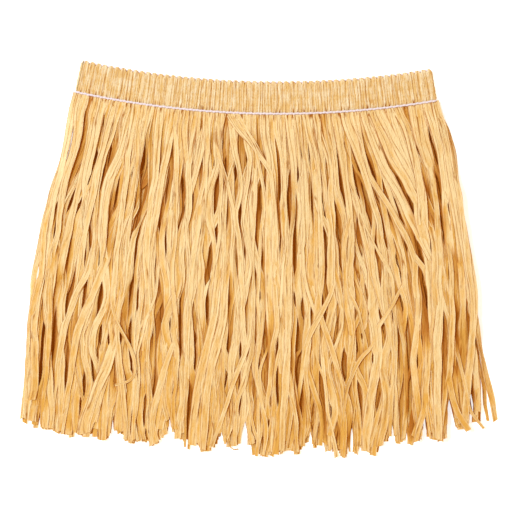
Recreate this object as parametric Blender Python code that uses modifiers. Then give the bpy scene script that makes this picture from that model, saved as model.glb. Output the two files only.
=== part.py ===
"""Grass skirt of paper raffia on an elastic waistband, laid flat with its front up.

Metres. +Z is up off the surface, +Y runs towards the waist and +X to the right.
The origin lies under the middle of the skirt, on the surface that it rests on.

The waistband is one strip closed in a loop and pressed flat. Under it hang four
layers of raffia, two in front and two behind, each a row of hanks. A hank is a
flat grid bent to the fan of the skirt, cut into two tails and given its thickness
by Solidify, with a vertex group for its folds.
"""

import math
from collections import namedtuple

import bmesh
import bpy
import numpy as np
from mathutils import Vector

MM = 0.001

# Waistband: its lower seam is an arc that hangs between the two side folds.
SEAM_CHORD = 0.388
SEAM_SAG = 0.0185
SEAM_MIDDLE = Vector((-0.0023, 0.1751))
SEAM_TURN = math.radians(-1.4)
BAND_WALL = 0.0028
BAND_SLIT = 0.0004
BAND_MID_Z = BAND_WALL + BAND_SLIT / 2
SIDE_FOLD = BAND_WALL + BAND_SLIT / 2
PLEATS = 36
PLEAT_DEPTH = 0.30
FOLD_STEPS = 4

# Rows of the band: height above the seam, share of the wall that is kept there and
# how strongly it is pleated. The elastic draws in the two rows beside the seam.
BandRow = namedtuple("BandRow", "height wall pleated")
BAND_ROWS = (
    BandRow(-0.0025, 0.75, 0.5),
    BandRow(-0.0013, 0.36, 0.0),
    BandRow(0.0013, 0.36, 0.0),
    BandRow(0.0035, 0.94, 1.0),
    BandRow(0.0300, 1.00, 1.0),
    BandRow(0.0330, 0.75, 0.6),
)
BAND_FOOT, SEAM_ROW, BAND_TOP = BAND_ROWS[0], BAND_ROWS[1], BAND_ROWS[-1]

# Elastic cords sewn on at the lower seam and along the top edge.
GAP = 0.0003
SEAM_CORD_RADIUS = 0.0007
EDGE_CORD_RADIUS = 0.0006
EDGE_CORD_LIFT = 0.0012
CORD_STEPS = 16

# Fringe: the ends of the raffia lie along a second arc, with its middle on X = 0.
HEM_CHORD = 0.512
HEM_SAG = 0.036
HEM_MIDDLE = Vector((0.0, -0.1725))

# How far the two side edges swell out of straight lines, for each share of the drop.
Swell = namedtuple("Swell", "drop left right")
SWELLS = (
    Swell(0.00, 0.0, 0.0),
    Swell(0.12, 3.0, 6.0),
    Swell(0.24, 6.0, 6.0),
    Swell(0.36, 14.0, 8.0),
    Swell(0.50, 13.0, 7.0),
    Swell(0.62, 14.0, 4.0),
    Swell(0.75, 10.0, 1.0),
    Swell(0.88, 5.0, -1.0),
    Swell(1.00, 0.0, 0.0),
)

# Hanks: they butt the waistband's foot, and lie a little apart from each other.
FRINGE_GAP = 0.0004
HANK_WALL = 0.0028
SLIT_AT_SEAM = 0.0010
PARTING_GAP = 0.0015
PARTING_SPREAD = 0.0050
TAIL_SLANT = 0.002
OUTER_ROWS = (0.0, 0.08, 0.20, 0.35, 0.50, 0.65, 0.82, 1.0)
OUTER_FOLDS = (0.60, 1.00, 0.70, 0.95, 0.60)
INNER_ROWS = (0.0, 0.08, 0.22, 0.50, 0.80, 1.0)
INNER_FOLDS = (0.65, 1.00, 0.70)
INNER_HANKS = 10
INNER_GAP = 0.004
INNER_REACH = (-0.010, -0.004, -0.013, -0.006)
FRONT_INNER_MARGIN = 0.004
BACK_INNER_MARGIN = 0.012

# Height of each layer's lower face and the thickness of its wall, in millimetres.
Level = namedtuple("Level", "drop back_outer back_inner front_inner front_outer wall")
LEVELS = (
    Level(0.00, 0.0, 1.55, 3.20, 4.80, 1.20),
    Level(0.08, 0.0, 2.50, 5.00, 7.60, 2.00),
    Level(0.22, 0.0, 3.30, 6.60, 10.0, 2.80),
    Level(0.60, 0.0, 3.30, 6.60, 10.2, 2.80),
    Level(0.85, 0.0, 2.95, 5.80, 8.80, 2.40),
    Level(1.00, 0.0, 2.25, 4.25, 6.40, 1.60),
)

# Slits between the outer hanks of the front, and the hank to the right of each.
# seam: distance along the seam from its left end. sway: how far the slit has
# wandered at the hem. gap: its width at the hem. Then the hank: the share of the
# drop where its two tails part, how far each tail reaches, and its lift. Millimetres.
Slit = namedtuple("Slit", "seam sway gap parting left_tail right_tail lift")
FRONT_SLITS = (
    Slit(0, 0, 0, 0.65, -3, 4, 0.0),
    Slit(27, -3, 5, 0.50, 2, 0, 1.2),
    Slit(56, 4, 4, 0.35, 3, -4, 0.3),
    Slit(77, -6, 7, 0.65, -2, 2, 1.6),
    Slit(105, 3, 4, 0.50, 4, 0, 0.6),
    Slit(130, -2, 5, 0.65, 0, 5, 1.4),
    Slit(158, 5, 6, 0.50, -3, 3, 0.0),
    Slit(188, -4, 4, 0.35, 5, 2, 1.1),
    Slit(212, 3, 5, 0.65, 1, -2, 0.4),
    Slit(242, 6, 6, 0.50, 4, 1, 1.6),
    Slit(266, -3, 4, 0.50, 0, 3, 0.7),
    Slit(290, 7, 5, 0.35, -4, 2, 1.3),
    Slit(319, 4, 7, 0.65, 2, -3, 0.2),
    Slit(346, -5, 5, 0.50, 3, 0, 1.0),
    Slit(368, 5, 9, 0.50, -2, 3, 0.4),
    Slit(390, 0, 0, 1.00, 0, 0, 0.0),
)
SEAM_LENGTH = FRONT_SLITS[-1].seam


# ------------------------------------------------------- outline of the skirt


def arc_point(share, chord, sag, middle, turn=0.0, out=0.0):
    """Point at a share of a hanging arc from left to right, moved out from its centre.

    middle is the midpoint of the arc's chord, and turn tilts the chord.
    """
    radius = (chord * chord / 4 + sag * sag) / (2 * sag)
    half_angle = math.asin(chord / 2 / radius)
    up = Vector((-math.sin(turn), math.cos(turn)))
    centre = middle + up * (radius - sag)
    angle = (2 * share - 1) * half_angle + turn
    return centre + Vector((math.sin(angle), -math.cos(angle))) * (radius + out)


def seam_point(share, height=0.0):
    """Point this far above the waist seam, at a share of its width."""
    return arc_point(share, SEAM_CHORD, SEAM_SAG, SEAM_MIDDLE, SEAM_TURN, -height)


def column(rows, name, drop):
    """Value of one named column of a table at this share of the drop."""
    return float(np.interp(drop, [row.drop for row in rows], [getattr(row, name) for row in rows]))


def skirt_point(share, drop):
    """Point of the fan: share from left to right, drop from the band to the hem."""
    top = seam_point(share, BAND_FOOT.height - FRINGE_GAP)
    hem = arc_point(share, HEM_CHORD, HEM_SAG, HEM_MIDDLE)
    swell = column(SWELLS, "right", drop) * share - column(SWELLS, "left", drop) * (1 - share)
    return top.lerp(hem, drop) + Vector((swell * MM, 0.0))


# -------------------------------------------------------------------- helpers


def make_material(name, colour, roughness):
    material = bpy.data.materials.new(name)
    material.use_nodes = True
    shader = material.node_tree.nodes["Principled BSDF"]
    shader.inputs["Base Color"].default_value = (*colour, 1.0)
    shader.inputs["Roughness"].default_value = roughness
    shader.inputs["Metallic"].default_value = 0.0
    return material


def new_object(name, data, collection, material):
    obj = bpy.data.objects.new(name, data)
    collection.objects.link(obj)
    data.materials.append(material)
    return obj


def finish_wall(name, bm, weights, thickness, collection, material):
    """Object from an open surface, thickened along its normals by Solidify.

    Each point grows by its own share of the thickness, kept in the weights layer.
    """
    shares = [vert[weights] for vert in bm.verts]
    mesh = bpy.data.meshes.new(name)
    bm.to_mesh(mesh)
    bm.free()
    obj = new_object(name, mesh, collection, material)
    group = obj.vertex_groups.new(name="wall")
    for index, share in enumerate(shares):
        group.add([index], share, "REPLACE")
    wall = obj.modifiers.new("Wall", "SOLIDIFY")
    wall.thickness = thickness
    wall.offset = 1.0
    wall.vertex_group = group.name
    return obj


# ------------------------------------------------------------------ waistband


def round_the_band(steps):
    """Stations round the flattened band, as (share of the width, facing in degrees).

    The front runs from left to right facing up, at 90 degrees, and the back returns
    facing down. Between them each side fold turns through 180 degrees.
    """
    left, right = SIDE_FOLD / SEAM_CHORD, 1 - SIDE_FOLD / SEAM_CHORD
    front = [(left + (right - left) * step / steps, 90.0) for step in range(steps + 1)]
    back = [(share, -90.0) for share, _ in reversed(front)]
    turns = [180 * step / FOLD_STEPS for step in range(1, FOLD_STEPS)]
    right_fold = [(right, 90 - turn) for turn in turns]
    left_fold = [(left, 270 - turn) for turn in turns]
    return front + right_fold + back + left_fold


def band_point(share, facing, lift, height):
    """Point at this distance from the band's middle surface, the way that it faces."""
    angle = math.radians(facing)
    flat = seam_point(share + math.cos(angle) * lift / SEAM_CHORD, height)
    return Vector((flat.x, flat.y, BAND_MID_Z + math.sin(angle) * lift))


def make_waistband(collection, material):
    """A grid closed into a loop, pressed flat, its wall grown outwards in pleats."""
    stations = round_the_band(2 * PLEATS)
    rows = len(BAND_ROWS) - 1
    bm = bmesh.new()
    bmesh.ops.create_grid(bm, x_segments=len(stations), y_segments=rows, size=0.5)
    weights = bm.verts.layers.float.new("wall")
    for vert in bm.verts:
        index = round((vert.co.x + 0.5) * len(stations)) % len(stations)
        row = BAND_ROWS[round((vert.co.y + 0.5) * rows)]
        share, facing = stations[index]
        in_valley = index % 2 == 0
        vert.co = band_point(share, facing, BAND_SLIT / 2, row.height)
        vert[weights] = row.wall - PLEAT_DEPTH * row.pleated * in_valley
    bmesh.ops.remove_doubles(bm, verts=bm.verts, dist=1e-6)
    bmesh.ops.recalc_face_normals(bm, faces=bm.faces)
    return finish_wall("waistband", bm, weights, BAND_WALL, collection, material)


def make_cord(name, height, radius, lift, collection, material):
    """A closed cord round the band, its axis this far out of the band's middle."""
    stations = round_the_band(CORD_STEPS)
    curve = bpy.data.curves.new(name, "CURVE")
    curve.dimensions = "3D"
    curve.bevel_depth = radius
    curve.bevel_resolution = 1
    spline = curve.splines.new("POLY")
    spline.points.add(len(stations) - 1)
    for point, (share, facing) in zip(spline.points, stations):
        point.co = (*band_point(share, facing, lift, height), 1.0)
    spline.use_cyclic_u = True
    return new_object(name, curve, collection, material)


def make_cords(collection, material):
    seam_wall = BAND_SLIT / 2 + SEAM_ROW.wall * BAND_WALL
    seam_lift = seam_wall + GAP + SEAM_CORD_RADIUS
    make_cord("seam_cord", 0.0, SEAM_CORD_RADIUS, seam_lift, collection, material)
    edge_height = BAND_TOP.height + GAP + EDGE_CORD_RADIUS
    make_cord("edge_cord", edge_height, EDGE_CORD_RADIUS, EDGE_CORD_LIFT, collection, material)


# --------------------------------------------------------------------- fringe


def parted(share, column_index, across, side, drop, parting):
    """Moves a column of the cut hank away from the cut, most of all the cut itself."""
    opening = (PARTING_GAP + PARTING_SPREAD * (drop - parting)) / 2 / HEM_CHORD
    nearness = 1 - abs(2 * column_index / across - 1)
    return share + math.copysign(opening * nearness, side)


def make_hank(name, edges, rows, folds, level, lift, ends, collection, material, parting=None):
    """One hank of raffia.

    edges(drop) gives its left and right side as shares of the seam. Its cross
    section has a point for each entry of folds, which is the share of the wall
    kept there. ends holds how far each of those points reaches past the hem.
    Below parting the middle fold is cut through, and its sides drawn apart.
    """
    across, down = len(folds) - 1, len(rows) - 1
    middle = across // 2
    bm = bmesh.new()
    bmesh.ops.create_grid(bm, x_segments=across, y_segments=down, size=0.5)

    def place(vert):
        return round((vert.co.x + 0.5) * across), down - round((vert.co.y + 0.5) * down)

    def is_cut(edge):
        ends_at = [place(vert) for vert in edge.verts]
        return all(i == middle and rows[j] >= parting for i, j in ends_at)

    if parting is not None:
        bmesh.ops.split_edges(bm, edges=[edge for edge in bm.edges if is_cut(edge)])
    places = [place(vert) for vert in bm.verts]
    middle_x = middle / across - 0.5
    sides = [np.mean([f.calc_center_median().x for f in v.link_faces]) - middle_x for v in bm.verts]

    weights = bm.verts.layers.float.new("wall")
    for vert, (i, j), side in zip(bm.verts, places, sides):
        drop = rows[j]
        left, right = edges(drop)
        share = left + (right - left) * i / across
        reach = ends[i]
        if parting is not None and drop > parting:
            share = parted(share, i, across, side, drop, parting)
            if i == middle:
                reach = ends[i - 1] if side < 0 else ends[i + 1]
        flat = skirt_point(share, drop)
        if j == down:
            flat += (flat - skirt_point(share, rows[j - 1])).normalized() * reach
        rise = lift * math.sin(math.pi * min(drop * 1.15, 1.0))
        vert.co = (flat.x, flat.y, column(LEVELS, level, drop) * MM + rise)
        vert[weights] = folds[i] * column(LEVELS, "wall", drop) * MM / HANK_WALL
    bm.normal_update()
    if sum(face.normal.z for face in bm.faces) < 0:
        bmesh.ops.reverse_faces(bm, faces=bm.faces)
    return finish_wall(name, bm, weights, HANK_WALL, collection, material)


def sides_between(slit, after):
    """The sides of the hank between two slits, as a function of the drop."""

    def edges(drop):
        sides = []
        for bound, towards in ((slit, 1), (after, -1)):
            at_fold = bound.seam in (0, SEAM_LENGTH)
            width = 0.0 if at_fold else SLIT_AT_SEAM + bound.gap * MM * drop
            share = bound.seam / SEAM_LENGTH + bound.sway * MM * drop / HEM_CHORD
            sides.append(share + towards * width / 2 / SEAM_CHORD)
        return sides

    return edges


def make_outer_layer(side, slits, collection, material):
    """The hanks that show, each between two slits and cut into two uneven tails."""
    for number, (slit, after) in enumerate(zip(slits, slits[1:]), 1):
        left, right = slit.left_tail * MM, slit.right_tail * MM
        make_hank(
            f"{side}_outer_hank_{number:02d}",
            sides_between(slit, after),
            OUTER_ROWS,
            OUTER_FOLDS,
            f"{side}_outer",
            slit.lift * MM,
            (left - TAIL_SLANT, left, 0.0, right + TAIL_SLANT, right),
            collection,
            material,
            parting=slit.parting,
        )


def make_inner_layer(side, margin, collection, material):
    """Evenly laid hanks whose joints lie off those of the outer layer."""
    width = (1 - 2 * margin) / INNER_HANKS
    for number in range(INNER_HANKS):
        left = margin + width * number

        def edges(drop, left=left):
            gap = SLIT_AT_SEAM / 2 / SEAM_CHORD + INNER_GAP / 2 / HEM_CHORD * drop
            return left + gap, left + width - gap

        reach = INNER_REACH[number % len(INNER_REACH)]
        make_hank(
            f"{side}_inner_hank_{number + 1:02d}",
            edges,
            INNER_ROWS,
            INNER_FOLDS,
            f"{side}_inner",
            0.0,
            (reach - TAIL_SLANT, reach, reach + TAIL_SLANT / 2),
            collection,
            material,
        )


def seen_from_behind(slits):
    """The row of slits in mirror image and flat, each hank with its tails exchanged."""
    hanks = zip(slits, slits[1:])
    mirrored = [
        slit._replace(
            seam=SEAM_LENGTH - after.seam,
            sway=-after.sway,
            gap=after.gap,
            lift=0.0,
        )
        for slit, after in hanks
    ]
    return [*reversed(mirrored), slits[-1]]


def main():
    for obj in list(bpy.data.objects):
        bpy.data.objects.remove(obj)
    collection = bpy.data.collections.new("grass_skirt")
    bpy.context.scene.collection.children.link(collection)
    raffia = make_material("raffia", (0.84, 0.56, 0.25), 0.65)
    elastic = make_material("elastic", (0.86, 0.80, 0.83), 0.7)

    make_waistband(collection, raffia)
    make_cords(collection, elastic)
    make_outer_layer("front", FRONT_SLITS, collection, raffia)
    make_inner_layer("front", FRONT_INNER_MARGIN, collection, raffia)
    make_inner_layer("back", BACK_INNER_MARGIN, collection, raffia)
    make_outer_layer("back", seen_from_behind(FRONT_SLITS), collection, raffia)


main()
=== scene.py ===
"""Grass skirt of crinkled paper raffia, laid flat: its fine shape, materials and studio.

The waistband is a pleated shell. The fringe is a heap of thin ribbons, laid down one
by one from the surface up. Each runs from the waist seam to the hem along the fan of the
skirt, strays from it in kinks, and comes to rest on those already lying there. Slits part
the ribbons of the front, and notches those of every layer at the hem. All sizes are in
metres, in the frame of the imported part, unless their names or comments say otherwise.
"""

import math
from collections import namedtuple

import bpy
import numpy as np
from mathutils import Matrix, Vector


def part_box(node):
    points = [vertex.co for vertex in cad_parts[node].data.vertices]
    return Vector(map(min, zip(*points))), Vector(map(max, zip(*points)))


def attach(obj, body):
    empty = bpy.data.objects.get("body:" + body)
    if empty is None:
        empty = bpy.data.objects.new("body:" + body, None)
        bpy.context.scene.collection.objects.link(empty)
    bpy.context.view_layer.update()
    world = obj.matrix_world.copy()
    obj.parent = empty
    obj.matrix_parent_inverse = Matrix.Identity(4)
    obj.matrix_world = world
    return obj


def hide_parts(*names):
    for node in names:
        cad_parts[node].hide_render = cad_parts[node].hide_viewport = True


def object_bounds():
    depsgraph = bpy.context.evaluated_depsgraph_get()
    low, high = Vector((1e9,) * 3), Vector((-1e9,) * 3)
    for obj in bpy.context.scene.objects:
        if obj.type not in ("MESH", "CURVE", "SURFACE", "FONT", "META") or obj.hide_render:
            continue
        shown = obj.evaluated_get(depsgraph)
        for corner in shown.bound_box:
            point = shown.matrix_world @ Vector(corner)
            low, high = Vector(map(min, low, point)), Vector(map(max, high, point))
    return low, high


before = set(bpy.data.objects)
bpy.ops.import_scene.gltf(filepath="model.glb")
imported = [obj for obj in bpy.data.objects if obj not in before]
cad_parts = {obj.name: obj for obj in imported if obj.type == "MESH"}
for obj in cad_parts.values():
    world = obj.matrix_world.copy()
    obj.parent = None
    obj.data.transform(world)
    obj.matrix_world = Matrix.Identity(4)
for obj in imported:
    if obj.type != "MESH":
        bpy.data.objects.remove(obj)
CAD_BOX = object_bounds()
BAND_LOW, BAND_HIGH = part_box("waistband")
BAND_MIDDLE = (BAND_LOW.z + BAND_HIGH.z) / 2

bl_info = {
    "name": "Grass skirt",
    "version": (1, 0, 0),
    "blender": (4, 5, 0),
    "location": "View3D > Sidebar > Skirt",
    "description": "Adds a raffia skirt with a pleated waistband, laid flat",
    "category": "Add Mesh",
}

MM = 0.001
SEED = 41

# ------------------------------------------------------------------ the cut of the skirt

# How far left and right the fringe reaches, in millimetres, from the seam (drop 0)
# to the hem (drop 1).
Side = namedtuple("Side", "drop left right")
SIDES = [Side(*row) for row in (
    (0.00, -191.0, 184.0), (0.07, -200.5, 191.0), (0.16, -205.0, 203.0), (0.21, -212.0, 209.0),
    (0.30, -225.0, 218.5), (0.35, -230.5, 222.0), (0.44, -233.5, 227.0), (0.53, -240.5, 231.5),
    (0.62, -247.5, 237.0), (0.76, -251.0, 240.0), (0.85, -253.5, 241.0), (1.00, -258.5, 241.0),
)]

# What follows is drawn on a grid of this step, with columns to the right and rows down.
# Gaps and widths count in steps too.
STEP = 1.075 * MM
ORIGIN_COLUMN, ORIGIN_ROW = 258, 259

# Slits that start above this row are tight, and those that start twice as low are open.
TIGHT_ROW = 140

# How low the longest ribbons reach at each place across the hem.
Hem = namedtuple("Hem", "column row")
HEM = [Hem(*row) for row in (
    (20, 417), (23, 423), (28, 416), (35, 427), (45, 430), (56, 434), (70, 440), (80, 434),
    (92, 437), (105, 440), (112, 430), (120, 437), (132, 444), (140, 441), (148, 448), (160, 440),
    (170, 431), (176, 444), (182, 440), (187, 450), (194, 442), (205, 452), (214, 448),
    (221, 439), (232, 449), (244, 438), (251, 454), (267, 457), (285, 451), (298, 454),
    (310, 440), (318, 454), (328, 450), (344, 457), (363, 450), (373, 455), (385, 444),
    (393, 437), (401, 444), (414, 446), (425, 431), (431, 438), (442, 440), (449, 428),
    (455, 424), (463, 431), (473, 414), (479, 428), (486, 421),
)]

# Slits that part the front: top, foot, gap, and where between the two the gap is widest.
Slit = namedtuple("Slit", "top foot gap widest", defaults=(0.5,))
SLITS = [Slit(*row) for row in (
    ((146.5, 120), (143, 180), 4.5, 0.7), ((143, 165), (137.5, 244), 6.0, 0.4),
    ((120.3, 164), (114, 216), 3.0), ((85.6, 112), (84, 126), 1.6), ((104, 115), (103, 125), 1.4),
    ((98, 142), (91, 176), 1.0), ((91, 172), (85, 190), 1.6), ((115, 144), (104, 167), 2.0),
    ((106, 160), (101, 177), 1.4), ((83, 190), (77, 218), 2.2, 0.4), ((75, 187), (66, 218), 2.2),
    ((57.5, 199), (54, 216), 1.8), ((56.5, 222), (53, 243), 2.2),
    ((88.5, 224), (90.5, 253), 3.4, 0.6), ((85, 248), (84.5, 266), 2.2),
    ((182.4, 172), (184.2, 196), 4.2, 0.45), ((166.9, 184), (166.5, 199), 1.8),
    ((160, 222), (158.5, 232), 2.8), ((165.6, 228), (166, 258), 3.4, 0.7),
    ((99, 240), (99, 273), 2.0), ((133, 165), (130, 184), 1.3), ((159.3, 164), (159, 176), 1.2),
    ((185, 199), (183.5, 220), 1.8), ((74, 124), (71, 136), 1.2), ((69, 150), (66, 162), 1.2),
    ((222.2, 114), (223.6, 150), 2.4, 0.8), ((223.4, 146), (227, 178), 3.2, 0.4),
    ((214.4, 155), (213.4, 172), 3.8), ((216.6, 175), (215.6, 219), 8.0, 0.35),
    ((214.5, 224), (217, 242), 3.4), ((228, 201), (226.4, 232), 2.4),
    ((209.6, 244), (209.4, 290), 5.0, 0.4), ((234, 156), (236.6, 181), 3.2, 0.6),
    ((246, 148), (246.8, 171), 2.2), ((256.2, 138), (258.4, 147), 1.4),
    ((257, 180), (263, 215), 3.2), ((281, 175), (280.2, 208), 2.4),
    ((288.4, 180), (287.2, 221), 2.2), ((241.3, 199), (240.5, 226), 1.8),
    ((297.4, 161), (299.6, 184), 3.0), ((299.2, 133), (302.8, 167), 2.0, 0.7),
    ((306.2, 131), (310.5, 168), 1.8, 0.7), ((310.5, 166), (314.8, 250), 2.4, 0.4),
    ((321.4, 185), (326, 232), 2.2), ((326, 230), (326.6, 276), 2.2, 0.3),
    ((295.6, 221), (295, 278), 5.0, 0.4), ((335, 216), (340.8, 248), 4.8, 0.5),
    ((338.6, 164), (346.2, 217), 2.2, 0.6), ((314.2, 120), (315.6, 138), 1.4),
    ((200.6, 114), (203, 134), 1.2), ((281, 232), (279.6, 258), 1.8),
    ((262.4, 245), (261.8, 276), 2.2), ((245, 244), (244.4, 258), 1.6),
    ((192.5, 192), (192.4, 207), 1.8), ((318.2, 260), (318.2, 269), 1.8),
    ((335.4, 201), (335, 211), 1.8), ((342.4, 136), (346.4, 156), 1.8),
    ((335.2, 139), (339, 168), 1.4), ((351.6, 158), (356, 184), 2.6, 0.7),
    ((355.4, 178), (359.4, 205), 3.4, 0.3), ((358, 165), (360, 176), 1.8),
    ((362.8, 147), (373.6, 171), 2.4, 0.7), ((372.6, 168), (378, 186), 2.6, 0.3),
    ((376.4, 194), (380, 204), 1.8), ((382, 154), (395, 176), 1.5, 0.7),
    ((394, 174), (406, 193), 1.8, 0.4), ((390.6, 190), (401, 214), 1.8),
    ((400, 212), (406, 231), 1.6, 0.3), ((386.2, 204), (391.4, 221), 2.2, 0.8),
    ((414.4, 142), (422.4, 161), 2.0, 0.4), ((424.4, 113), (432, 142), 1.6, 0.8),
    ((431.4, 139), (439, 172), 2.2, 0.6), ((438.2, 168), (442, 210), 2.0),
    ((441.6, 206), (444, 256), 2.4, 0.4), ((435.2, 110), (441.8, 148), 1.2),
    ((410, 195), (411.4, 210), 1.6), ((413.2, 199), (413.6, 216), 1.6),
    ((356.4, 212), (360.6, 242), 2.0), ((360.4, 238), (362.6, 258), 3.4, 0.6),
    ((380, 215), (386.6, 237), 2.4, 0.7), ((386.4, 234), (387, 252), 2.0, 0.4),
    ((430.4, 237), (430.2, 256), 2.0), ((395, 250), (398.6, 270), 3.0, 0.6),
    ((417.6, 246), (427, 271), 2.0), ((405.8, 242), (407.6, 253), 2.4),
    ((368, 190), (368.4, 221), 1.4), ((445, 196), (451.6, 226), 1.1),
    ((66.6, 288), (65.2, 323), 3.8), ((83.6, 283), (84.8, 307), 2.0),
    ((101, 282), (97.6, 316), 5.6, 0.5), ((100, 322), (100, 349), 5.4, 0.5),
    ((92.4, 358), (91.8, 387), 2.6, 0.3), ((96, 345), (97, 362), 2.2),
    ((45.4, 320), (44, 339), 1.8), ((52.8, 318), (51, 374), 2.2), ((65.8, 360), (64, 387), 2.4),
    ((83.4, 367), (83.4, 404), 4.4), ((81.6, 398), (78.2, 419), 2.0, 0.3),
    ((130.6, 275), (128, 313), 2.8), ((136.8, 285), (138, 315), 1.8),
    ((131, 316), (129, 337), 3.0), ((120, 329), (120.8, 347), 2.4),
    ((131.6, 361), (130, 373), 2.4), ((164.2, 308), (160.4, 326), 3.0),
    ((170.2, 315), (170.2, 330), 2.0), ((107.8, 328), (109.4, 350), 2.2),
    ((154.8, 378), (151.8, 402), 2.6), ((43, 360), (38, 391), 4.0),
    ((179.8, 286), (179, 353), 3.0), ((207.4, 290), (206.8, 330), 5.0, 0.3),
    ((197, 332), (195.2, 346), 2.4), ((194.6, 353), (194, 376), 2.8),
    ((228.6, 331), (226.2, 358), 3.4), ((240.6, 340), (240, 361), 3.0),
    ((260, 288), (260.4, 304), 2.2), ((265.4, 324), (263.6, 362), 3.2),
    ((259.2, 358), (258.8, 370), 2.0), ((278.6, 335), (276.6, 357), 2.8),
    ((228.8, 368), (222.8, 396), 3.2), ((241.8, 392), (239.2, 413), 3.2),
    ((276.2, 362), (278.6, 413), 5.0, 0.6), ((297, 313), (299, 358), 5.2, 0.7),
    ((299, 350), (296.8, 390), 5.2, 0.4), ((301.6, 294), (301.8, 320), 2.8),
    ((294, 288), (294.8, 308), 3.2), ((322.8, 292), (323, 305), 1.8),
    ((325, 313), (325.6, 322), 2.4), ((337, 316), (338.2, 340), 2.2),
    ((320.6, 370), (323, 406), 4.8), ((331.5, 402), (331.5, 422), 2.0),
    ((314.4, 399), (311.8, 422), 2.8), ((312, 305), (311, 325), 2.4),
    ((251.3, 424), (250.8, 434), 1.8), ((229, 289), (229, 311), 1.6),
    ((268, 416), (268.8, 431), 1.8), ((366, 286), (369, 303), 2.8),
    ((369, 312), (369.4, 320), 2.0), ((360.6, 325), (363, 345), 2.8),
    ((384.4, 325), (384.6, 333), 2.4), ((379, 305), (379.8, 320), 1.5),
    ((398.4, 294), (405.2, 311), 1.8), ((398.6, 325), (399, 343), 2.8),
    ((373.6, 349), (373.2, 369), 2.2), ((342, 352), (347.8, 385), 3.8),
    ((417.4, 350), (418, 372), 2.2), ((443.6, 309), (443, 330), 2.2),
    ((426.6, 283), (426.8, 314), 2.2), ((421.8, 332), (422, 345), 1.5),
    ((399.4, 397), (402, 417), 3.2), ((359.4, 381), (361.8, 417), 3.2),
    ((381, 389), (376.8, 417), 2.8), ((392.6, 313), (393, 322), 1.5),
    ((356.2, 335), (359.6, 357), 2.0), ((475.4, 335), (474.4, 347), 1.4),
    ((89.5, 93.5), (89.3, 98), 1.8), ((144.8, 104.5), (144.6, 109), 1.8),
    ((154.6, 106), (154.8, 110), 1.5), ((181, 109), (181.3, 113), 1.6),
    ((226.4, 112.5), (226.8, 117), 1.8), ((370.2, 109), (371.6, 115), 2.0),
    ((380.2, 112), (380.6, 116.5), 1.6), ((389.2, 110), (388.4, 115), 1.4),
    ((413.8, 106), (413.2, 111), 1.6),
)]

# Notches that part the whole skirt at the hem, drawn as the slits.
NOTCHES = [Slit(*row) for row in (
    ((39, 412), (37, 445), 3.5, 0.8), ((112, 412), (112, 452), 4.0, 0.8),
    ((170, 410), (169, 460), 5.5, 0.7), ((222, 425), (222, 463), 5.0, 0.7),
    ((245, 418), (243, 468), 9.0, 0.7), ((310, 427), (311, 466), 4.5, 0.6),
    ((352, 423), (352, 463), 4.5, 0.6), ((393, 416), (394, 452), 4.0, 0.7),
    ((425, 408), (425, 456), 6.0, 0.7), ((447, 392), (457, 456), 14.0, 0.75),
    ((470.5, 388), (475, 416), 4.5, 0.6), ((40.5, 262), (36.4, 283), 2.6, 0.6),
)]

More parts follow.
